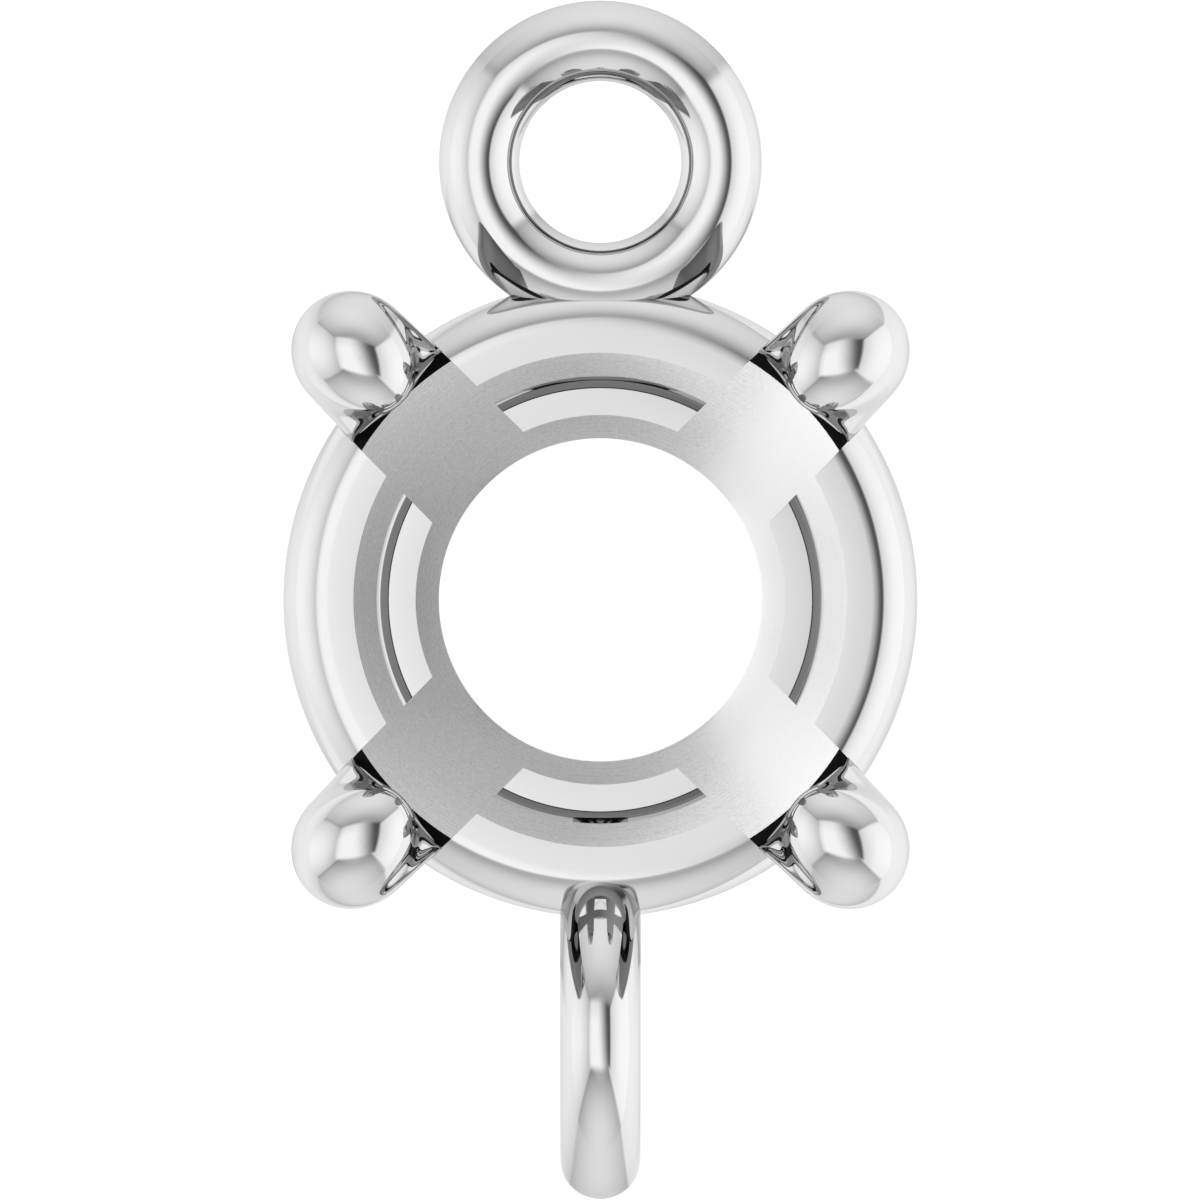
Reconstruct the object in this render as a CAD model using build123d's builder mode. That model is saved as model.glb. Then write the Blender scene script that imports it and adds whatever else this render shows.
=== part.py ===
"""Four-prong link setting for one round faceted stone, cast in one piece.

Two rings carry four outward-leaning prongs. A flat link ring and a standing link ring are soldered
to opposite sides of the upper ring, so that the setting can hang in a chain and carry a drop.

Frame: +Z is the stone's axis, Z = 0 is the underside of the lower ring, +Y points at the flat link
ring and -Y at the standing one. All lengths are in millimetres.
"""

import os
from math import radians, sqrt, tan

from build123d import *

# Stone seat: one steep cone through both rings and all the prongs
stone_diameter = 3.5
bearing_lap = 0.008          # how far the seat's upper edge reaches under the stone's girdle
bearing_height = 2.89        # from the underside to the seat's upper edge
seat_hole_diameter = 2.0     # the seat's opening at the underside
girdle_clearance = 0.02
girdle_groove_height = 0.06

# Lower ring
base_ring_height = 0.56
base_ring_wall = 0.45        # at the top, from the seat to the outside

# Upper ring, the gallery
gallery_bottom = 1.5
gallery_height = 0.56
gallery_wall = 0.435

# Prongs
prong_count = 4
prong_first_angle = 45.0
prong_lean_angle = 14.0      # outward from the vertical
prong_axis_offset = 0.361    # from the seat's upper edge out to the prong's axis, at the bearing
prong_half_width = 0.405
prong_back_radius = 0.3825   # the round back is a little narrower than the face
prong_face_setback = 0.018   # from the seat's upper edge in to the middle of the head's face
prong_face_crown = 0.045     # how far that face bulges towards the stone in the middle
prong_head_height = 0.71     # from the bearing to the tip

# Link rings, of round wire
link_wire_diameter = 0.5
link_outer_diameter = 2.0
link_overlap = 0.253         # how far each is let into the gallery

seat_hole_radius = seat_hole_diameter / 2
bearing_radius = stone_diameter / 2 - bearing_lap
seat_slope = (bearing_radius - seat_hole_radius) / bearing_height
gallery_top = gallery_bottom + gallery_height


def seat_radius(height):
    """Radius of the seat's cone at a height above the underside."""
    return seat_hole_radius + seat_slope * height


def prong_axis_radius(height):
    """Distance from the stone's axis to a prong's axis at a height above the underside."""
    lean = tan(radians(prong_lean_angle)) * (height - bearing_height)
    return bearing_radius + prong_axis_offset + lean


def ring_profile(bottom, height, wall):
    """Half section of a ring with a half-round outside, solid to well inside the seat's cut."""
    outer = seat_radius(bottom + height) + wall
    shoulder = outer - height / 2
    bore = seat_radius(bottom) / 2
    with BuildSketch(Plane.XZ) as profile:
        with BuildLine():
            Polyline(
                (shoulder, bottom + height),
                (bore, bottom + height),
                (bore, bottom),
                (shoulder, bottom),
            )
            ThreePointArc(
                (shoulder, bottom),
                (outer, bottom + height / 2),
                (shoulder, bottom + height),
            )
        make_face()
    return profile.sketch


def prong_section(height, face, corner, corner_half_width):
    """Level section of a prong on +X, round at the back.

    face is the middle of its side towards the stone, and corner is where that side's ends are.
    """
    axis = prong_axis_radius(height)
    with BuildSketch(Plane.XY.offset(height)) as section:
        with BuildLine():
            ThreePointArc((corner, corner_half_width), (face, 0), (corner, -corner_half_width))
            Line((corner, -corner_half_width), (axis, -prong_back_radius))
            ThreePointArc(
                (axis, -prong_back_radius),
                (axis + prong_back_radius, 0),
                (axis, prong_back_radius),
            )
            Line((axis, prong_back_radius), (corner, corner_half_width))
        make_face()
    return section.sketch


# Lower ring
with BuildPart() as base_ring:
    add(ring_profile(0, base_ring_height, base_ring_wall))
    revolve(axis=Axis.Z)

# Upper ring
with BuildPart() as gallery:
    add(ring_profile(gallery_bottom, gallery_height, gallery_wall))
    revolve(axis=Axis.Z)

# Prong on +X, from the underside to the bearing, deep enough for the seat's cut to make its face
with BuildPart() as prong_leg:
    for height in (0, bearing_height):
        face = seat_radius(height) - prong_half_width
        add(prong_section(height, face, face + prong_face_crown, prong_half_width))
    loft(ruled=True)

# Prong's head on +X: flat-faced at the bearing, round where the domed tip begins
dome_height = bearing_height + prong_head_height - prong_back_radius
dome_axis = prong_axis_radius(dome_height)
dome_corner = prong_back_radius / sqrt(2)
head_face = bearing_radius - prong_face_setback
with BuildPart() as prong_head:
    add(prong_section(bearing_height, head_face, head_face + prong_face_crown, prong_half_width))
    add(
        prong_section(
            dome_height,
            dome_axis - prong_back_radius,
            dome_axis - dome_corner,
            dome_corner,
        )
    )
    loft(ruled=True)
    with Locations((dome_axis, 0, dome_height)):
        Sphere(prong_back_radius)

# Seat: the cone up to its upper edge, and the groove for the stone's girdle
with BuildPart() as seat:
    with BuildSketch(Plane.XZ):
        with BuildLine():
            Polyline(
                (0, -base_ring_height),
                (seat_radius(-base_ring_height), -base_ring_height),
                (bearing_radius, bearing_height),
                (stone_diameter / 2 + girdle_clearance, bearing_height + girdle_groove_height / 2),
                (bearing_radius, bearing_height + girdle_groove_height),
                (0, bearing_height + girdle_groove_height),
                close=True,
            )
        make_face()
    revolve(axis=Axis.Z)

# Link rings on the gallery's mid-plane, the flat one at +Y and the standing one at -Y
link_wire_radius = link_wire_diameter / 2
link_mean_radius = link_outer_diameter / 2 - link_wire_radius
link_height = gallery_bottom + gallery_height / 2
link_distance = seat_radius(gallery_top) + gallery_wall + link_outer_diameter / 2 - link_overlap

with BuildPart() as flat_link:
    with Locations((0, link_distance, link_height)):
        Torus(link_mean_radius, link_wire_radius)

with BuildPart() as standing_link:
    with Locations((0, -link_distance, link_height)):
        Torus(link_mean_radius, link_wire_radius, rotation=(0, 90, 0))

# The whole casting
with BuildPart() as setting:
    add(base_ring.part)
    add(gallery.part)
    with PolarLocations(0, prong_count, start_angle=prong_first_angle):
        add(prong_leg.part)
        add(prong_head.part)
    add(seat.part, mode=Mode.SUBTRACT)
    add(flat_link.part)
    add(standing_link.part)

setting.part.label = "setting"

os.makedirs("parts", exist_ok=True)
export_step(setting.part, "parts/setting.step")
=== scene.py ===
"""Studio view of the four-prong link setting: one finely meshed casting in polished white metal."""

from math import cos, pi, radians, sin, sqrt, tan

import bpy
import numpy as np
from mathutils import Matrix, Vector
from mathutils.bvhtree import BVHTree


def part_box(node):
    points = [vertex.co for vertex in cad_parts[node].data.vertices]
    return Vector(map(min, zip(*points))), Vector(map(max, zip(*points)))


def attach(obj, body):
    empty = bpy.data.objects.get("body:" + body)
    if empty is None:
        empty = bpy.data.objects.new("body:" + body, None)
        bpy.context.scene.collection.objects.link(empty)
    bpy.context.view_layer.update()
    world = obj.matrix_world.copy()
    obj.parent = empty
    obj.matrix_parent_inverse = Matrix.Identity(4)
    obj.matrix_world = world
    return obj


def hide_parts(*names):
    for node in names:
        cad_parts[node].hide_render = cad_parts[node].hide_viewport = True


MM = 0.001
NODE = "setting"
TINY = 1e-9                  # keeps lengths that something is divided by above zero
LEVEL = np.array([1.0, 1.0, 0.0])
UP = np.array([0.0, 0.0, 1.0])

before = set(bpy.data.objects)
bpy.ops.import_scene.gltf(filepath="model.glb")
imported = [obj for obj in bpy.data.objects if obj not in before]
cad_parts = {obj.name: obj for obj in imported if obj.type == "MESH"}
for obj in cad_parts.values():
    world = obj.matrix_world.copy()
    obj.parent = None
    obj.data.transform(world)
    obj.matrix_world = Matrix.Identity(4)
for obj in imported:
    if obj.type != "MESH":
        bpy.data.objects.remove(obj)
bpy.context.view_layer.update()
node_low, node_high = (np.array(corner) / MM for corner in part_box(NODE))

# Sizes of the casting in millimetres. Its length, width and height come from the frame.
LENGTH = node_high[1] - node_low[1]
WIDTH = node_high[0] - node_low[0]
TIP_HEIGHT = node_high[2]

# Stone seat
SEAT_HOLE_RADIUS = 1.0
BEARING_RADIUS = 1.742
BEARING_HEIGHT = 2.89
SEAT_SLOPE = (BEARING_RADIUS - SEAT_HOLE_RADIUS) / BEARING_HEIGHT
GROOVE_RADIUS = 1.77
GROOVE_HEIGHT = 0.06

# Lower ring and gallery, the upper one
RING_HEIGHT = 0.56
RING_CROWN = 0.03            # how far polishing has leaned the normals of their flat tops outward
BASE_WALL = 0.443
BASE_SOFTENING = 0.9         # rounds the lower ring's shoulders over a little sooner
GALLERY_RADIUS = WIDTH / 2
GALLERY_BOTTOM = 1.50

# Link rings
LINK_HEIGHT = GALLERY_BOTTOM + RING_HEIGHT / 2
LINK_WIRE_RADIUS = 0.25
LINK_MEAN_RADIUS = 0.75
LINK_DISTANCE = LENGTH / 2 - LINK_WIRE_RADIUS - LINK_MEAN_RADIUS

# Prongs. Their axis is measured from the stone's axis, a little below the tips.
PRONG_COUNT = 4
PRONG_FIRST_ANGLE = 45.0
PRONG_LEAN = tan(radians(14.0))
PRONG_HEAD_AXIS = 2.18
PRONG_HEAD_AXIS_DEPTH = 0.40
PRONG_FOOT_AXIS = PRONG_HEAD_AXIS - PRONG_LEAN * (TIP_HEIGHT - PRONG_HEAD_AXIS_DEPTH)
PRONG_FOOT_HALF_WIDTH = 0.405
PRONG_BEARING_HALF_WIDTH = 0.402
PRONG_BACK_TAPER = 0.018
PRONG_BEARING_SIDE = 0.38
PRONG_HEAD_RADIUS = 0.3825
HEAD_FACE_RADIUS = 1.735

# The dome of a head: where its top lies, how it spreads from there with depth, and the most it
# spreads to the sides
DOME_TOP_RADIUS = 2.114
DOME_SPREAD_LONG = 0.638
DOME_SOFTNESS_LONG = 0.319
DOME_SPREAD_WIDE = 0.494
DOME_SOFTNESS_WIDE = 0.291
DOME_HALF_WIDTH = 0.365
BACK_BLEND = 14.0
FACE_BLEND = 16.0
WIDTH_BLEND = 20.0

# The flat-faced block that comes out of the dome on its way down to the bearing. Its top is a
# wider dome of its own, whose two half axes at the bearing reach a little past the block's corners.
BLOCK_FACE_RADIUS = 1.771
BLOCK_CORNER_HALF_WIDTH = 0.403
BLOCK_MIDDLE_HALF_WIDTH = 0.37
BLOCK_TOP_LONG = 0.64
BLOCK_TOP_WIDE = 0.50
BLOCK_TOP_POWER = 0.42
BLOCK_BACK_SHARE = 0.9       # its reach towards the back, as a share of the dome's
BLOCK_EDGE_BLEND = 20.0
BLOCK_JOIN_BLEND = 18.0

# Fineness of the mesh
RING_SEGMENTS = 288
ROUND_STEPS = 28
LINK_SEGMENTS = 160
WIRE_SEGMENTS = 56
LEG_STEPS = 6
LEG_SEGMENTS = 96
LEG_REACH_IN = 0.3           # how far a prong's leg reaches in past where the seat is cut
HEAD_STEPS = 72
HEAD_TOP_STEP = 0.01         # squared, how far below the tip the topmost section of a head lies
HEAD_BACK_SEGMENTS = 20
HEAD_SIDE_SEGMENTS = 10
HEAD_FACE_SEGMENTS = 18


def seat_radius(height):
    """Radius of the stone seat's cone at a height."""
    return SEAT_HOLE_RADIUS + SEAT_SLOPE * height


def prong_axis(height):
    """Distance of a prong's axis from the stone's axis at a height."""
    return PRONG_FOOT_AXIS + PRONG_LEAN * height


# Every face of a part is tagged with the surface that it lies on, which later gives its finish
# and its exact normals
SURFACES = []


def surface(finish, normals):
    """Registers a surface and returns its tag, which its faces hold as their material index."""
    SURFACES.append({"finish": finish, "normals": normals})
    return len(SURFACES) - 1


def unit(vectors):
    """The same directions at length 1."""
    return vectors / np.maximum(np.linalg.norm(vectors, axis=-1, keepdims=True), TINY)


def flat_normals(direction):
    """Normals of a flat surface."""
    return lambda points: np.tile(direction, (len(points), 1))


def wire_normals(centre, axis, mean_radius):
    """Normals of a ring of round wire: straight out from the wire's centre line."""
    centre = np.array(centre, float)
    axis = np.array(axis, float)

    def normals(points):
        offset = points - centre
        along = (offset @ axis)[:, None] * axis
        return unit(offset - unit(offset - along) * mean_radius)

    return normals


def ring_normals(bottom, inner, shoulder, softening):
    """Normals of a ring's crowned top and half-round outside.

    A softening below 1 rounds the shoulders over sooner.
    """
    half = RING_HEIGHT / 2

    def normals(points):
        radius = np.linalg.norm(points[:, :2], axis=1)
        crown = RING_CROWN * np.clip((radius - inner) / (shoulder - inner), 0, 1)
        lean = np.clip((radius - shoulder) / half, 0, 1) ** softening
        side = np.sign(points[:, 2] - bottom - half)
        lean = np.where(side > 0, np.maximum(lean, crown + lean / 2), lean)
        rise = side * np.sqrt(1 - lean**2)
        return unit(points * LEVEL) * lean[:, None] + UP * rise[:, None]

    return normals


def cone_normals(points):
    """Normals of the seat's cone, which faces inward and up."""
    return unit(UP * SEAT_SLOPE - unit(points * LEVEL))


def grid_part(name, rows, tags, close_rows=False, cap_start=None, cap_end=None):
    """Closed part skinned over rows of points. tags has one tag for each band between two rows."""
    count, width = len(rows), len(rows[0])
    vertices = [tuple(p) for row in rows for p in row]
    faces, face_tags = [], []
    for band in range(count if close_rows else count - 1):
        upper = (band + 1) % count
        for k in range(width):
            following = (k + 1) % width
            faces.append(
                (
                    band * width + k,
                    band * width + following,
                    upper * width + following,
                    upper * width + k,
                )
            )
            face_tags.append(tags[band])
    for row, tag, flip in ((0, cap_start, True), (count - 1, cap_end, False)):
        if tag is None:
            continue
        ring = [row * width + k for k in range(width)]
        hub = len(vertices)
        vertices.append(tuple(np.mean([vertices[i] for i in ring], axis=0)))
        for k in range(width):
            pair = (ring[k], ring[(k + 1) % width])
            faces.append((hub, *(reversed(pair) if flip else pair)))
            face_tags.append(tag)
    mesh = bpy.data.meshes.new(name)
    mesh.from_pydata(vertices, [], faces)
    mesh.polygons.foreach_set("material_index", face_tags)
    mesh.update()
    return mesh


def lathe_rows(profile, segments):
    """Rows of points for a profile of (radius, height) turned round the stone's axis."""
    turns = np.arange(segments) * 2 * pi / segments
    return [
        [(radius * cos(t), radius * sin(t), height) for t in turns] for radius, height in profile
    ]


def ring_part(name, bottom, outer, softening=1.0):
    """Ring with a half-round outside, solid in to where the seat is cut."""
    half = RING_HEIGHT / 2
    shoulder = outer - half
    bore = seat_radius(bottom) - half
    seat_edge = seat_radius(bottom + RING_HEIGHT)
    crowned = ring_normals(bottom, seat_edge, shoulder, softening)
    top_tag = surface("polished", crowned)
    under_tag = surface("polished", flat_normals(-UP))
    round_tag = surface("polished", crowned)
    arc = [
        (shoulder + half * sin(a), bottom + half - half * cos(a))
        for a in np.linspace(0, pi, ROUND_STEPS + 1)
    ]
    profile = [(bore, bottom), *arc, (bore, bottom + RING_HEIGHT)]
    tags = [under_tag] + [round_tag] * ROUND_STEPS + [top_tag, top_tag]
    rows = lathe_rows(profile, RING_SEGMENTS)
    return grid_part(name, rows, tags, close_rows=True)


def link_part(name, centre_y, axis, side):
    """Link ring of round wire. axis is its own axis and side a direction in its plane."""
    centre = np.array([0, centre_y, LINK_HEIGHT])
    axis = np.array(axis, float)
    side = np.array(side, float)
    across = np.cross(side, axis)
    tag = surface("polished", wire_normals(centre, axis, LINK_MEAN_RADIUS))
    rows = []
    for turn in np.arange(LINK_SEGMENTS) * 2 * pi / LINK_SEGMENTS:
        outward = side * cos(turn) + across * sin(turn)
        rows.append(
            [
                centre
                + outward * (LINK_MEAN_RADIUS + LINK_WIRE_RADIUS * cos(a))
                + axis * LINK_WIRE_RADIUS * sin(a)
                for a in np.arange(WIRE_SEGMENTS) * 2 * pi / WIRE_SEGMENTS
            ]
        )
    return grid_part(name, rows, [tag] * LINK_SEGMENTS, close_rows=True)


def seat_part():
    """The seat as a cutter: its cone up to the bearing, and the groove for the stone's girdle."""
    cone = surface("satin", cone_normals)
    groove = surface("recess", None)
    ends = surface("recess", flat_normals(UP))
    below = RING_HEIGHT
    profile = [
        (seat_radius(-below), -below),
        (BEARING_RADIUS, BEARING_HEIGHT),
        (GROOVE_RADIUS, BEARING_HEIGHT + GROOVE_HEIGHT / 2),
        (BEARING_RADIUS, BEARING_HEIGHT + GROOVE_HEIGHT),
    ]
    rows = lathe_rows(profile, RING_SEGMENTS)
    return grid_part("seat", rows, [cone, groove, groove], cap_start=ends, cap_end=ends)


def spread(depth, widest, softness):
    """How far a dome has spread at a depth below its top: round at the top, steeper and steeper."""
    return widest * sqrt(depth / (depth + softness))


def ellipse_radius(c, s, along, across):
    """Radius of an ellipse in the direction with this cosine and sine."""
    return 1 / sqrt((c / along) ** 2 + (s / across) ** 2)


def lesser(first, second, blend):
    """The lesser of two lengths, rounded where they change over, or the greater if blend < 0."""
    if first <= 0:
        return first
    return (first**-blend + second**-blend) ** (-1 / blend)


def smooth_step(x):
    """Eases from 0 to 1."""
    x = min(max(x, 0.0), 1.0)
    return x * x * (3 - 2 * x)


def head_angles(corner):
    """Directions round a head's section, from the back by one side to the face and back again."""
    back = np.linspace(0, pi / 2, HEAD_BACK_SEGMENTS + 1)
    side = np.linspace(pi / 2, corner, HEAD_SIDE_SEGMENTS + 1)
    face = np.linspace(corner, pi, HEAD_FACE_SEGMENTS + 1)
    half = np.concatenate([back[:-1], side[:-1], face])
    return np.concatenate([half, 2 * pi - half[-2:0:-1]])


def head_section(height):
    """Level section of a prong head on +X: a dome, with a flat-faced block growing out of it."""
    depth = TIP_HEIGHT - height
    rounding = smooth_step(depth / PRONG_HEAD_RADIUS)
    centre = DOME_TOP_RADIUS + (prong_axis(height) - DOME_TOP_RADIUS) * rounding

    reach = spread(depth, DOME_SPREAD_LONG, DOME_SOFTNESS_LONG)
    back_limit = prong_axis(height) + PRONG_HEAD_RADIUS - DOME_TOP_RADIUS
    back = DOME_TOP_RADIUS + lesser(reach, back_limit, BACK_BLEND) - centre
    face_limit = DOME_TOP_RADIUS - HEAD_FACE_RADIUS
    face = centre - DOME_TOP_RADIUS + lesser(reach, face_limit, FACE_BLEND)
    half_width = spread(depth, DOME_SPREAD_WIDE, DOME_SOFTNESS_WIDE)
    half_width = lesser(half_width, DOME_HALF_WIDTH, WIDTH_BLEND)

    block_face = centre - BLOCK_FACE_RADIUS
    widening = (BLOCK_CORNER_HALF_WIDTH - BLOCK_MIDDLE_HALF_WIDTH) / block_face
    top_share = (depth / (TIP_HEIGHT - BEARING_HEIGHT)) ** BLOCK_TOP_POWER
    top_long, top_wide = BLOCK_TOP_LONG * top_share, BLOCK_TOP_WIDE * top_share
    block_side = lesser(top_wide, BLOCK_MIDDLE_HALF_WIDTH, BLOCK_EDGE_BLEND)

    points = []
    for t in head_angles(pi - np.arctan2(BLOCK_CORNER_HALF_WIDTH, block_face)):
        c, s = cos(t), sin(t)
        if c >= 0:
            dome = ellipse_radius(c, s, back, half_width)
            block = ellipse_radius(c, s, BLOCK_BACK_SHARE * back, block_side)
        else:
            dome = ellipse_radius(c, s, face, half_width)
            side = BLOCK_MIDDLE_HALF_WIDTH / max(abs(s) - widening * abs(c), TINY)
            edges = min(block_face / abs(c), side)
            block = lesser(ellipse_radius(c, s, top_long, top_wide), edges, BLOCK_EDGE_BLEND)
        radius = lesser(dome, block, -BLOCK_JOIN_BLEND)
        points.append((centre + radius * c, radius * s, height))
    return np.array(points)


def leg_section(height):
    """Level section of a prong's leg on +X, reaching in past where the seat is cut."""
    share = height / BEARING_HEIGHT
    half_width = PRONG_FOOT_HALF_WIDTH + (PRONG_BEARING_HALF_WIDTH - PRONG_FOOT_HALF_WIDTH) * share
    back = half_width - PRONG_BACK_TAPER
    flank = back + (PRONG_BEARING_SIDE - back) * share
    centre = prong_axis(height)
    face = seat_radius(height) - LEG_REACH_IN
    half = LEG_SEGMENTS // 2
    turns = np.linspace(-pi / 2, pi / 2, half)
    arc = [(centre + back * cos(a), flank * sin(a), height) for a in turns]
    shares = np.linspace(0, 1, (LEG_SEGMENTS - half) // 2 + 1)[1:]
    side = [
        (centre + (face - centre) * k, flank + (half_width - flank) * k, height) for k in shares
    ]
    other = [(x, -y, z) for x, y, z in reversed(side)]
    return np.array(arc + side + other)


def turned(points, angle):
    """Points turned round the stone's axis."""
    c, s = cos(angle), sin(angle)
    turn = np.array([[c, -s, 0], [s, c, 0], [0, 0, 1]])
    return points @ turn.T


def grid_normals(rows):
    """Outward normals of rows of points that close round a part."""
    grid = np.array(rows)
    around = np.roll(grid, -1, axis=1) - np.roll(grid, 1, axis=1)
    up = np.gradient(grid, axis=0)
    return unit(np.cross(around, up))


def looked_up_normals(rows):
    """Normals read off the rows' own surface at the nearest point."""
    grid, normals = np.array(rows), grid_normals(rows)
    count, width = grid.shape[:2]
    flat = grid.reshape(-1, 3)
    flat_n = normals.reshape(-1, 3)
    triangles = []
    for i in range(count - 1):
        for k in range(width):
            a, b = i * width + k, i * width + (k + 1) % width
            triangles += [(a, b, b + width), (a, b + width, a + width)]
    tree = BVHTree.FromPolygons([Vector(p) for p in flat], triangles)

    def normals_at(points):
        found = []
        for p in points:
            place, _, index, _ = tree.find_nearest(Vector(p))
            corners = triangles[index]
            weights = [1 / (np.linalg.norm(flat[c] - np.array(place)) + TINY) for c in corners]
            found.append(sum(w * flat_n[c] for w, c in zip(weights, corners)))
        return unit(np.array(found))

    return normals_at


def prong_part(index, angle):
    """One prong: leg, bearing ledge and domed head."""
    leg_heights = np.linspace(0, BEARING_HEIGHT, LEG_STEPS)
    head_height = TIP_HEIGHT - BEARING_HEIGHT
    head_heights = TIP_HEIGHT - head_height * np.linspace(1, HEAD_TOP_STEP, HEAD_STEPS) ** 2
    legs = [turned(leg_section(h), angle) for h in leg_heights]
    heads = [turned(head_section(h), angle) for h in head_heights]
    name = f"prong_{index}"
    leg_tag = surface("polished", looked_up_normals(legs))
    head_tag = surface("polished", looked_up_normals(heads))
    foot_tag = surface("polished", flat_normals(-UP))
    ledge_tag = surface("recess", flat_normals(UP))
    leg_tags = [leg_tag] * (len(legs) - 1)
    head_tags = [head_tag] * (len(heads) - 1)
    leg = grid_part(name + "_leg", legs, leg_tags, cap_start=foot_tag, cap_end=ledge_tag)
    head = grid_part(name + "_head", heads, head_tags, cap_start=ledge_tag, cap_end=head_tag)
    return leg, head


def combined(base, other, operation):
    """Boolean of two meshes, as a new mesh that keeps the tags."""
    first = bpy.data.objects.new("first", base)
    second = bpy.data.objects.new("second", other)
    for o in (first, second):
        bpy.context.scene.collection.objects.link(o)
    modifier = first.modifiers.new("join", "BOOLEAN")
    modifier.operation = operation
    modifier.object = second
    modifier.solver = "MANIFOLD"
    modifier.material_mode = "INDEX"
    bpy.context.view_layer.update()
    evaluated = first.evaluated_get(bpy.context.evaluated_depsgraph_get())
    result = bpy.data.meshes.new_from_object(evaluated)
    for o in (first, second):
        bpy.data.objects.remove(o)
    return result


def casting_mesh():
    """All of the casting as one closed mesh in millimetres, with a tag on each face."""
    base_radius = seat_radius(RING_HEIGHT) + BASE_WALL
    body = ring_part("base_ring", 0.0, base_radius, BASE_SOFTENING)
    body = combined(body, ring_part("gallery", GALLERY_BOTTOM, GALLERY_RADIUS), "UNION")
    for index in range(PRONG_COUNT):
        angle = radians(PRONG_FIRST_ANGLE + index * 360 / PRONG_COUNT)
        for part in prong_part(index, angle):
            body = combined(body, part, "UNION")
    body = combined(body, seat_part(), "DIFFERENCE")
    body = combined(body, link_part("flat_link", LINK_DISTANCE, (0, 0, 1), (0, 1, 0)), "UNION")
    body = combined(body, link_part("standing_link", -LINK_DISTANCE, (1, 0, 0), (0, 1, 0)), "UNION")
    return body


def apply_normals(mesh):
    """Gives every face corner the exact normal of the surface that its face lies on."""
    count = len(mesh.loops)
    loop_vertex = np.empty(count, int)
    mesh.loops.foreach_get("vertex_index", loop_vertex)
    points = np.empty(len(mesh.vertices) * 3)
    mesh.vertices.foreach_get("co", points)
    points = points.reshape(-1, 3)
    sizes = np.empty(len(mesh.polygons), int)
    mesh.polygons.foreach_get("loop_total", sizes)
    tags = np.empty(len(mesh.polygons), int)
    mesh.polygons.foreach_get("material_index", tags)
    facing = np.empty(len(mesh.polygons) * 3)
    mesh.polygons.foreach_get("normal", facing)
    loop_tag = np.repeat(tags, sizes)
    normals = np.repeat(facing.reshape(-1, 3), sizes, axis=0)
    for tag, entry in enumerate(SURFACES):
        chosen = np.flatnonzero(loop_tag == tag)
        if len(chosen) == 0 or entry["normals"] is None:
            continue
        used, place = np.unique(loop_vertex[chosen], return_inverse=True)
        exact = entry["normals"](points[used])[place]
        flipped = np.sign(np.sum(exact * normals[chosen], axis=1))
        normals[chosen] = exact * np.where(flipped == 0, 1, flipped)[:, None]
    mesh.normals_split_custom_set(normals.tolist())


class Tree:
    """Small helper for putting nodes and links into a node tree."""

    def __init__(self, tree):
        """Starts with an empty node tree."""
        self.tree = tree
        tree.nodes.clear()

    def node(self, kind, **settings):
        """Adds a node with these settings."""
        made = self.tree.nodes.new(kind)
        for name, value in settings.items():
            setattr(made, name, value)
        return made

    def link(self, source, target):
        """Links an output to an input."""
        self.tree.links.new(source, target)

    def put(self, source, target):
        """Links a socket, or sets a number or colour."""
        if hasattr(source, "is_output"):
            self.link(source, target)
        else:
            target.default_value = source

    def split(self, vector):
        """Gives the three parts of a vector."""
        made = self.node("ShaderNodeSeparateXYZ")
        self.link(vector, made.inputs[0])
        return made.outputs

    def geometry(self, what):
        """Gives the Position or the Normal of the place that is shaded."""
        return self.node("ShaderNodeNewGeometry").outputs[what]

    def maths(self, operation, *values):
        """Adds a calculation and gives its result."""
        made = self.node("ShaderNodeMath", operation=operation)
        for k, value in enumerate(values):
            self.put(value, made.inputs[k])
        return made.outputs[0]

    def remap(self, value, low, high, to_low=0.0, to_high=1.0, smooth=False):
        """Maps a value from one range to another, held at the ends."""
        kind = "SMOOTHSTEP" if smooth else "LINEAR"
        made = self.node("ShaderNodeMapRange", interpolation_type=kind)
        for k, v in enumerate((value, low, high, to_low, to_high)):
            self.put(v, made.inputs[k])
        return made.outputs[0]

    def length(self, x, y):
        """Length of a level vector with these two parts."""
        square = self.maths("MULTIPLY_ADD", x, x, self.maths("MULTIPLY", y, y))
        return self.maths("SQRT", square)

    def mix(self, share, first, second):
        """Blend of two values: the first where the share is 0, the second where it is 1."""
        made = self.node("ShaderNodeMix", data_type="FLOAT")
        self.put(share, made.inputs[0])
        self.put(first, made.inputs[2])
        self.put(second, made.inputs[3])
        return made.outputs[0]


# The polished metal: its grey as seen, and painted shade where other metal mirrors it, darker greys
# that stand in for the dimmer light in mirrored metal.
# Mirrored once, upright faces, roundings that face up and flat tops differ, told apart by their
# normal's rise: the painted shade is lightest on roundings that face up.
METAL_GREY = 0.84
METAL_EDGE_TINT = 0.85
UPRIGHT_MIRRORED_PAINTED_SHADE = 0.25
ROUNDING_MIRRORED_PAINTED_SHADE = 0.58
FLAT_MIRRORED_PAINTED_SHADE = 0.36
UPRIGHT_TO_ROUNDING = (0.0, 0.3)
ROUNDING_TO_FLAT = (0.985, 0.999)
MIRRORED_TWICE_PAINTED_SHADE = 0.03
MIRRORED_TWICE_DEPTH = 1.5   # of a light path: between one mirroring and two
POLISH_ROUGHNESS = 0.04
POLISH_GRAIN = 0.4
POLISH_TONE = 0.006
POLISH_ROUGHNESS_TONE = 0.01
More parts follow.
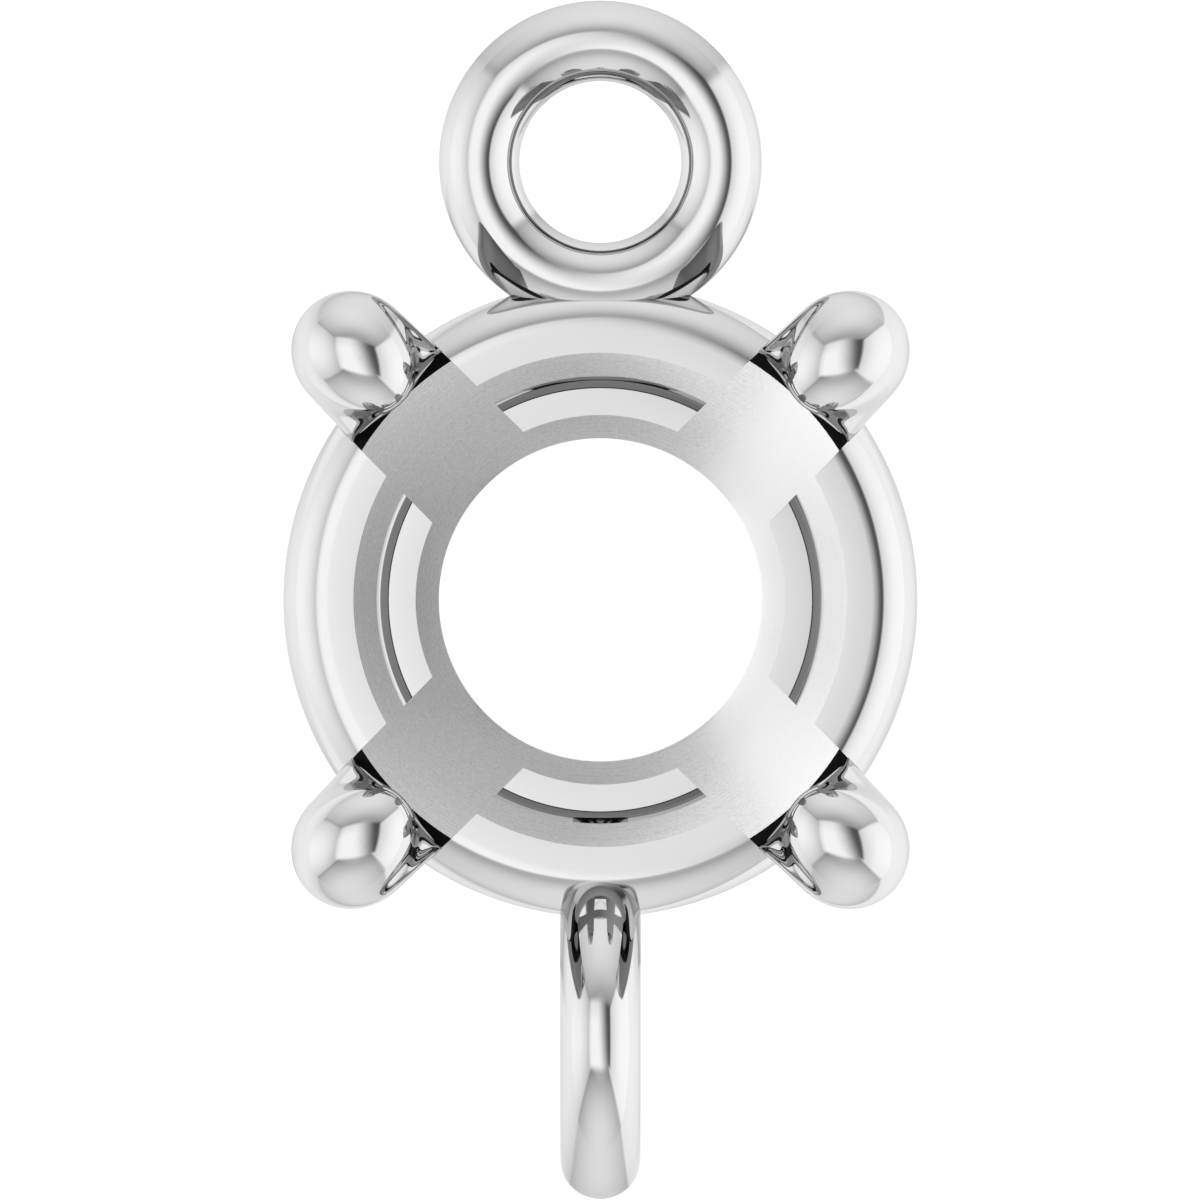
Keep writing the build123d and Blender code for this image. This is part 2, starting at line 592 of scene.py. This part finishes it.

# The seat's satin, by azimuth in degrees: how its painted light changes round the cut, its grey
# painted lighter on the right and darker on the left, where light from the left falls
SATIN_FRONT_PAINTED_LIGHT = 0.81
SATIN_FLANK_PAINTED_LIGHT = 1.0
SATIN_SIDE_PAINTED_LIGHT = 0.90
SATIN_REAR_PAINTED_LIGHT = 0.62
SATIN_FRONT_TO_FLANK = (10, 46)
SATIN_FLANK_TO_SIDE = (45, 59)
SATIN_SIDE_TO_REAR = (118, 182)
# Painted shade: the satin's grey where other metal mirrors it
SATIN_MIRRORED_PAINTED_SHADE = 0.3
SATIN_METALLIC = 0.3
SATIN_ROUGHNESS = 0.7
SATIN_GRAIN = 0.022
SATIN_LINE_SPACING = 0.022
SATIN_LINES = 0.5
SATIN_TONE = 0.26
SATIN_FLANK_TONE = 0.06

# The girdle groove's unpolished bottom and the bearing ledges: rough, and painted near black as
# shade
RECESS_PAINTED_SHADE_GREY = 0.004
RECESS_ROUGHNESS = 0.9
RECESS_SHINE = 0.1
RECESS_GRAIN = 0.03
RECESS_TONE = 0.002

NOISE_RANGE = (0.25, 0.75)   # where nearly all of a noise's values lie

# The floor. Between two distances from the stone's axis it goes over to the link rings.
UNDER_LINKS = (1.9, 2.4)
FLOOR_REACH = 500.0
FLOOR_GAP = 0.001            # keeps the floor from lying in the part's own underside
FLOOR_GREY = 0.15
FLOOR_GRAIN = 1.0
FLOOR_TONE = 0.004
FLOOR_SEEN_GLOW = 0.97
FLOOR_WALL_SHARE = 0.695     # mirrored by the metal: this share of the wall's light behind it,
FLOOR_EVEN_LIGHT = 0.16      # and this much light all round

# The key light, a wide sun. Its height above the horizon and its softness are in degrees.
KEY_STRENGTH = 2.8
KEY_HEIGHT = 50.0
KEY_SOFTNESS = 20.0

# The picture, by its side and its middle
PICTURE_SIZE = 7.427
PICTURE_CENTRE = (-0.0025, -0.0012)
CAMERA_HEIGHT = 60.0

# The studio's walls, by azimuth in degrees: each wall's middle and half its width, its light at
# the horizon, and the shares of it lost towards the wall's corners and towards the ceiling
WALLS = {
    "right": {"middle": -3.5, "half": 41.0, "light": 0.945, "to_corners": 0.11, "to_ceiling": 0.28},
    "far": {"middle": 88.8, "half": 51.2, "light": 0.735, "to_corners": 0.38, "to_ceiling": 0.50},
    "left": {"middle": 180.0, "half": 40.0, "light": 0.89, "to_corners": 0.36, "to_ceiling": 0.36},
    "near": {"middle": -92.0, "half": 48.0, "light": 0.71, "to_corners": 0.45, "to_ceiling": 0.40},
}
CORNER_BLEND = 3.0
CORNER_LINE_WIDTH = 4.0
CORNER_LINE_DEPTH = 0.17
WALL_TOP = 0.83              # upward part of the direction to the walls' upper edge
WALL_FALL_POWER = 4.0        # how late the loss towards the ceiling sets in

# The ceiling, in run over rise to the right and to the far side: where it ends, how its light goes
# over from bright on the left to dim on the right, and how it falls off at its left and far ends
LOWEST_RISE = 0.01
CEILING_RIGHT = 0.56
CEILING_LEFT = 0.65
CEILING_FAR = 0.50
CEILING_NEAR = 0.42
CEILING_FAR_SLANT = 0.09
CEILING_EDGE_BLEND = 0.08
CEILING_BRIGHT = 0.896
CEILING_DIM = 0.084
CEILING_SHADE = (-0.17, 0.45)
CEILING_SHADE_CURVE = -0.3
CEILING_SHADE_SLANT = 0.2
CEILING_LEFT_END = (-0.8, -0.4)
CEILING_LEFT_END_SHARE = 0.66
CEILING_FAR_END = (0.15, 0.5)
CEILING_FAR_END_SHARE = 0.84


def node_group(name, inputs, outputs):
    """Empty shader node group with these sockets, its tree helper, its inputs and its output."""
    made = bpy.data.node_groups.new(name, "ShaderNodeTree")
    for title, kind in inputs.items():
        made.interface.new_socket(title, in_out="INPUT", socket_type=kind)
    for title, kind in outputs.items():
        made.interface.new_socket(title, in_out="OUTPUT", socket_type=kind)
    t = Tree(made)
    return made, t, t.node("NodeGroupInput").outputs, t.node("NodeGroupOutput").inputs


def wall_light_group():
    """Light of the studio's walls towards a direction, used by the world and by the floor."""
    made, t, given, out = node_group(
        "wall_light",
        {"Direction": "NodeSocketVector", "Corner Line": "NodeSocketFloat"},
        {"Light": "NodeSocketFloat"},
    )
    x, y, z = t.split(given["Direction"])
    level = t.maths("MAXIMUM", t.length(x, y), TINY)
    height = t.maths("POWER", t.remap(z, 0.0, WALL_TOP), WALL_FALL_POWER)
    blend = radians(CORNER_BLEND)
    line_width = radians(CORNER_LINE_WIDTH)
    total = 0.0
    for wall in WALLS.values():
        middle, half = radians(wall["middle"]), radians(wall["half"])
        along = t.maths("MULTIPLY_ADD", y, sin(middle), t.maths("MULTIPLY", x, cos(middle)))
        turn = t.maths("ARCCOSINE", t.maths("DIVIDE", along, level))
        share = t.maths("DIVIDE", turn, half)
        square = t.maths("MULTIPLY", share, share)
        light = t.maths("MULTIPLY_ADD", square, -wall["light"] * wall["to_corners"], wall["light"])
        light = t.maths("MULTIPLY", light, t.maths("MULTIPLY_ADD", height, -wall["to_ceiling"], 1.0))
        off_corner = t.maths("ABSOLUTE", t.maths("SUBTRACT", turn, half))
        line = t.remap(off_corner, 0.0, line_width, given["Corner Line"], 0.0, smooth=True)
        light = t.maths("MULTIPLY", light, t.maths("SUBTRACT", 1.0, line))
        inside = t.remap(turn, half - blend, half + blend, 1.0, 0.0, smooth=True)
        total = t.maths("MULTIPLY_ADD", light, inside, total)
    t.link(total, out["Light"])
    return made


def studio_world(wall_light):
    """Box of soft light round the part, worked out from the direction alone."""
    world = bpy.data.worlds.new("studio")
    world.use_nodes = True
    t = Tree(world.node_tree)
    direction = t.node("ShaderNodeTexCoord").outputs["Generated"]
    x, y, z = t.split(direction)
    rise = t.maths("MAXIMUM", z, LOWEST_RISE)
    run_x = t.maths("DIVIDE", x, rise)
    run_y = t.maths("DIVIDE", y, rise)

    curve = t.maths("MULTIPLY_ADD", run_y, CEILING_SHADE_CURVE, CEILING_SHADE_SLANT)
    across = t.maths("ADD", run_x, t.maths("MULTIPLY", run_y, curve))
    shade = t.remap(across, *CEILING_SHADE, smooth=True)
    ceiling = t.mix(shade, CEILING_BRIGHT, CEILING_DIM)
    left_end = t.remap(run_x, *CEILING_LEFT_END, CEILING_LEFT_END_SHARE, 1.0, smooth=True)
    far_end = t.remap(run_y, *CEILING_FAR_END, 1.0, CEILING_FAR_END_SHARE, smooth=True)
    ceiling = t.maths("MULTIPLY", t.maths("MULTIPLY", ceiling, left_end), far_end)

    past_right = t.maths("SUBTRACT", run_x, CEILING_RIGHT)
    past_left = t.maths("MULTIPLY_ADD", run_x, -1.0, -CEILING_LEFT)
    slanted = t.maths("MULTIPLY_ADD", run_x, CEILING_FAR_SLANT, run_y)
    past_far = t.maths("SUBTRACT", slanted, CEILING_FAR)
    past_near = t.maths("MULTIPLY_ADD", run_y, -1.0, -CEILING_NEAR)
    past_side = t.maths("MAXIMUM", past_right, past_left)
    past = t.maths("MAXIMUM", past_side, t.maths("MAXIMUM", past_far, past_near))
    outside = t.remap(past, -CEILING_EDGE_BLEND, CEILING_EDGE_BLEND, smooth=True)

    walls = t.node("ShaderNodeGroup", node_tree=wall_light)
    t.link(direction, walls.inputs["Direction"])
    walls.inputs["Corner Line"].default_value = CORNER_LINE_DEPTH
    background = t.node("ShaderNodeBackground")
    t.link(t.mix(outside, ceiling, walls.outputs["Light"]), background.inputs["Color"])
    background.inputs["Strength"].default_value = 1 / METAL_GREY
    output = t.node("ShaderNodeOutputWorld")
    t.link(background.outputs[0], output.inputs[0])
    bpy.context.scene.world = world


def principled(t, colour):
    """Principled shader with this base colour, linked to the material's output."""
    shader = t.node("ShaderNodeBsdfPrincipled")
    t.link(colour, shader.inputs["Base Color"])
    output = t.node("ShaderNodeOutputMaterial")
    t.link(shader.outputs[0], output.inputs["Surface"])
    return shader


def material(name):
    """New material and its tree helper."""
    made = bpy.data.materials.new(name)
    made.use_nodes = True
    return made, Tree(made.node_tree)


def grey_with_painted_reflection_shade(t, seen, mirrored):
    """Grey of the metal as seen, and its painted shade: darker as other metal mirrors it, darkest as
    it is mirrored twice.
    """
    path = t.node("ShaderNodeLightPath")
    twice = t.maths("GREATER_THAN", path.outputs["Ray Depth"], MIRRORED_TWICE_DEPTH)
    deeper = t.mix(twice, mirrored, MIRRORED_TWICE_PAINTED_SHADE)
    return t.mix(path.outputs["Is Camera Ray"], deeper, seen)


def grain_group():
    """Fine unevenness of a finish, from -1 to 1: grain, and lines turned round the stone's axis."""
    made, t, given, out = node_group(
        "fine_grain",
        {
            "Grain Size": "NodeSocketFloat",
            "Line Spacing": "NodeSocketFloat",
            "Lines": "NodeSocketFloat",
        },
        {"Tone": "NodeSocketFloat"},
    )
    place = t.geometry("Position")
    grains = t.node("ShaderNodeTexNoise", noise_dimensions="3D")
    t.link(place, grains.inputs["Vector"])
    t.link(t.maths("DIVIDE", 1.0, given["Grain Size"]), grains.inputs["Scale"])

    x, y, z = t.split(place)
    slanting = t.maths("ADD", t.length(x, y), z)
    lines = t.node("ShaderNodeTexNoise", noise_dimensions="1D")
    t.link(t.maths("DIVIDE", slanting, given["Line Spacing"]), lines.inputs["W"])
    lines.inputs["Scale"].default_value = 1.0
    both = t.mix(given["Lines"], grains.outputs[0], lines.outputs[0])
    t.link(t.remap(both, *NOISE_RANGE, -1.0, 1.0), out["Tone"])
    return made


def grain(t, group, grain_size, line_spacing=1.0, lines=0.0):
    """Adds the fine grain to a material and gives its tone. The sizes are in millimetres."""
    made = t.node("ShaderNodeGroup", node_tree=group)
    made.inputs["Grain Size"].default_value = grain_size * MM
    made.inputs["Line Spacing"].default_value = line_spacing * MM
    made.inputs["Lines"].default_value = lines
    return made.outputs["Tone"]


def polished_metal(group):
    """Mirror-polished white metal, with the faintest unevenness in its polish.

    Where other metal mirrors it, its grey is painted shade: dark on upright faces, lighter on what
    faces up on a rounding.
    """
    made, t = material("polished_white_metal")
    tone = grain(t, group, POLISH_GRAIN)
    seen = t.maths("MULTIPLY_ADD", tone, POLISH_TONE, METAL_GREY)
    # Painted shade where other metal mirrors it, set by how far the normal faces up
    _, _, facing_up = t.split(t.geometry("Normal"))
    rounding = t.remap(facing_up, *UPRIGHT_TO_ROUNDING, smooth=True)
    flat = t.remap(facing_up, *ROUNDING_TO_FLAT, smooth=True)
    mirrored = t.mix(rounding, UPRIGHT_MIRRORED_PAINTED_SHADE, ROUNDING_MIRRORED_PAINTED_SHADE)
    mirrored = t.mix(flat, mirrored, FLAT_MIRRORED_PAINTED_SHADE)
    shader = principled(t, grey_with_painted_reflection_shade(t, seen, mirrored))
    shader.inputs["Metallic"].default_value = 1.0
    roughness = t.maths("MULTIPLY_ADD", tone, POLISH_ROUGHNESS_TONE, POLISH_ROUGHNESS)
    t.link(roughness, shader.inputs["Roughness"])
    shader.inputs["Specular Tint"].default_value = (METAL_EDGE_TINT,) * 3 + (1,)
    return made


def between(t, value, angles, first, second):
    """Eases from one value to another between two angles in degrees."""
    start, end = (radians(angle) for angle in angles)
    return t.remap(value, start, end, first, second, smooth=True)


def satin_metal(group):
    """Cut face of the seat: satin, with fine lines from the cutter, and painted light: lighter on
    the right, darker on the left.
    """
    made, t = material("satin_seat")
    x, y, _ = t.split(t.geometry("Position"))
    # Painted light: the grey is painted by azimuth, lighter on the right and darker on the left
    turn = t.maths("ABSOLUTE", t.maths("ARCTAN2", y, x))
    front = between(t, turn, SATIN_FRONT_TO_FLANK, SATIN_FRONT_PAINTED_LIGHT, SATIN_FLANK_PAINTED_LIGHT)
    rear = between(t, turn, SATIN_SIDE_TO_REAR, SATIN_SIDE_PAINTED_LIGHT, SATIN_REAR_PAINTED_LIGHT)
    past_flank = between(t, turn, SATIN_FLANK_TO_SIDE, 0.0, 1.0)
    painted_side_light = t.mix(past_flank, front, rear)

    tone = grain(t, group, SATIN_GRAIN, SATIN_LINE_SPACING, SATIN_LINES)
    strength = t.mix(past_flank, SATIN_FLANK_TONE, SATIN_TONE)
    seen = t.maths("MULTIPLY", painted_side_light, t.maths("MULTIPLY_ADD", tone, strength, 1.0))
    shader = principled(t, grey_with_painted_reflection_shade(t, seen, SATIN_MIRRORED_PAINTED_SHADE))
    shader.inputs["Metallic"].default_value = SATIN_METALLIC
    shader.inputs["Roughness"].default_value = SATIN_ROUGHNESS
    return made


def recess_metal(group):
    """Unpolished bottom of the girdle groove and the bearing ledges, painted near black as shade."""
    made, t = material("dark_recess")
    tone = grain(t, group, RECESS_GRAIN)
    # Painted shade: a near-black grey
    shader = principled(t, t.maths("MULTIPLY_ADD", tone, RECESS_TONE, RECESS_PAINTED_SHADE_GREY))
    shader.inputs["Roughness"].default_value = RECESS_ROUGHNESS
    shader.inputs["Specular IOR Level"].default_value = RECESS_SHINE
    return made


def outward_over_floor(t):
    """Direction outward over the floor, from what stands nearest above it.

    That is the stone's axis, the flat link ring's centre or the standing link ring's wire.
    """
    x, y, _ = t.split(t.geometry("Position"))
    away = t.maths("ABSOLUTE", y)
    near, far = (reach * MM for reach in UNDER_LINKS)
    under_link = t.remap(away, near, far, smooth=True)
    on_wire = t.maths("MINIMUM", away, (LINK_DISTANCE + LINK_MEAN_RADIUS) * MM)
    link_centre = t.mix(t.maths("GREATER_THAN", y, 0.0), on_wire, LINK_DISTANCE * MM)
    past = t.maths("SUBTRACT", away, t.maths("MULTIPLY", under_link, link_centre))
    made = t.node("ShaderNodeCombineXYZ")
    t.link(x, made.inputs[0])
    t.link(t.maths("MULTIPLY", t.maths("SIGN", y), past), made.inputs[1])
    return made.outputs[0]


def floor(group, wall_light):
    """Plain pale floor that the part rests on, glowing: evenly white as seen, and painted light as
    the metal mirrors it, the walls' light by azimuth round the part, nearly as light as the walls.
    """
    made, t = material("floor_white")
    tone = t.maths("MULTIPLY", grain(t, group, FLOOR_GRAIN), FLOOR_TONE)
    shader = principled(t, t.maths("ADD", tone, FLOOR_GREY))
    shader.inputs["Roughness"].default_value = 1.0
    shader.inputs["Specular IOR Level"].default_value = 0.0
    shader.inputs["Emission Color"].default_value = (1, 1, 1, 1)
    walls = t.node("ShaderNodeGroup", node_tree=wall_light)
    t.link(outward_over_floor(t), walls.inputs["Direction"])
    walls.inputs["Corner Line"].default_value = 0.0
    # Painted light: as the metal mirrors it, the floor glows with the walls' light by its azimuth
    # round the part
    light = t.maths("MULTIPLY_ADD", walls.outputs["Light"], FLOOR_WALL_SHARE, FLOOR_EVEN_LIGHT)
    mirrored = t.maths("SUBTRACT", t.maths("DIVIDE", light, METAL_GREY), FLOOR_GREY)
    seen = t.maths("ADD", tone, FLOOR_SEEN_GLOW)
    path = t.node("ShaderNodeLightPath")
    glow = t.mix(path.outputs["Is Camera Ray"], mirrored, seen)
    t.link(glow, shader.inputs["Emission Strength"])

    reach = FLOOR_REACH * MM
    level = -FLOOR_GAP * MM
    corners = [(-reach, -reach), (reach, -reach), (reach, reach), (-reach, reach)]
    mesh = bpy.data.meshes.new("floor")
    mesh.from_pydata([(x, y, level) for x, y in corners], [], [(0, 1, 2, 3)])
    mesh.materials.append(made)
    plane = bpy.data.objects.new("floor", mesh)
    bpy.context.scene.collection.objects.link(plane)


def key_light():
    """Soft light from the left. Only dull surfaces answer to it: polished ones don't mirror it."""
    lamp = bpy.data.lights.new("key", "SUN")
    lamp.energy = KEY_STRENGTH
    lamp.angle = radians(KEY_SOFTNESS)
    made = bpy.data.objects.new("key", lamp)
    made.rotation_euler = (0, radians(KEY_HEIGHT - 90), 0)
    made.visible_glossy = False
    bpy.context.scene.collection.objects.link(made)


def camera():
    """Looks straight down the stone's axis, with the flat link ring at the top of the picture.

    The photograph shows no narrowing with depth, so the view is a parallel one.
    """
    lens = bpy.data.cameras.new("camera")
    lens.type = "ORTHO"
    lens.ortho_scale = PICTURE_SIZE * MM
    lens.clip_start = MM
    lens.clip_end = 2 * CAMERA_HEIGHT * MM
    made = bpy.data.objects.new("camera", lens)
    x, y = PICTURE_CENTRE
    made.location = (x * MM, y * MM, CAMERA_HEIGHT * MM)
    bpy.context.scene.collection.objects.link(made)
    bpy.context.scene.camera = made


def place_casting(looks):
    """Puts the casting in the scene in place of the plain model, with its finishes."""
    mesh = casting_mesh()
    apply_normals(mesh)
    tags = np.empty(len(mesh.polygons), int)
    mesh.polygons.foreach_get("material_index", tags)
    finishes = list(looks)
    slots = np.array([finishes.index(entry["finish"]) for entry in SURFACES])
    mesh.materials.clear()
    for look in looks.values():
        mesh.materials.append(look)
    mesh.polygons.foreach_set("material_index", slots[tags])
    mesh.transform(Matrix.Scale(MM, 4))
    mesh.update()
    casting = bpy.data.objects.new("casting", mesh)
    bpy.context.scene.collection.objects.link(casting)
    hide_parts(NODE)
    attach(casting, "root")


fine_grain = grain_group()
place_casting(
    {
        "polished": polished_metal(fine_grain),
        "satin": satin_metal(fine_grain),
        "recess": recess_metal(fine_grain),
    }
)
wall_light = wall_light_group()
studio_world(wall_light)
floor(fine_grain, wall_light)
key_light()
camera()
bpy.context.scene.view_settings.view_transform = "Standard"

bpy.context.view_layer.update()
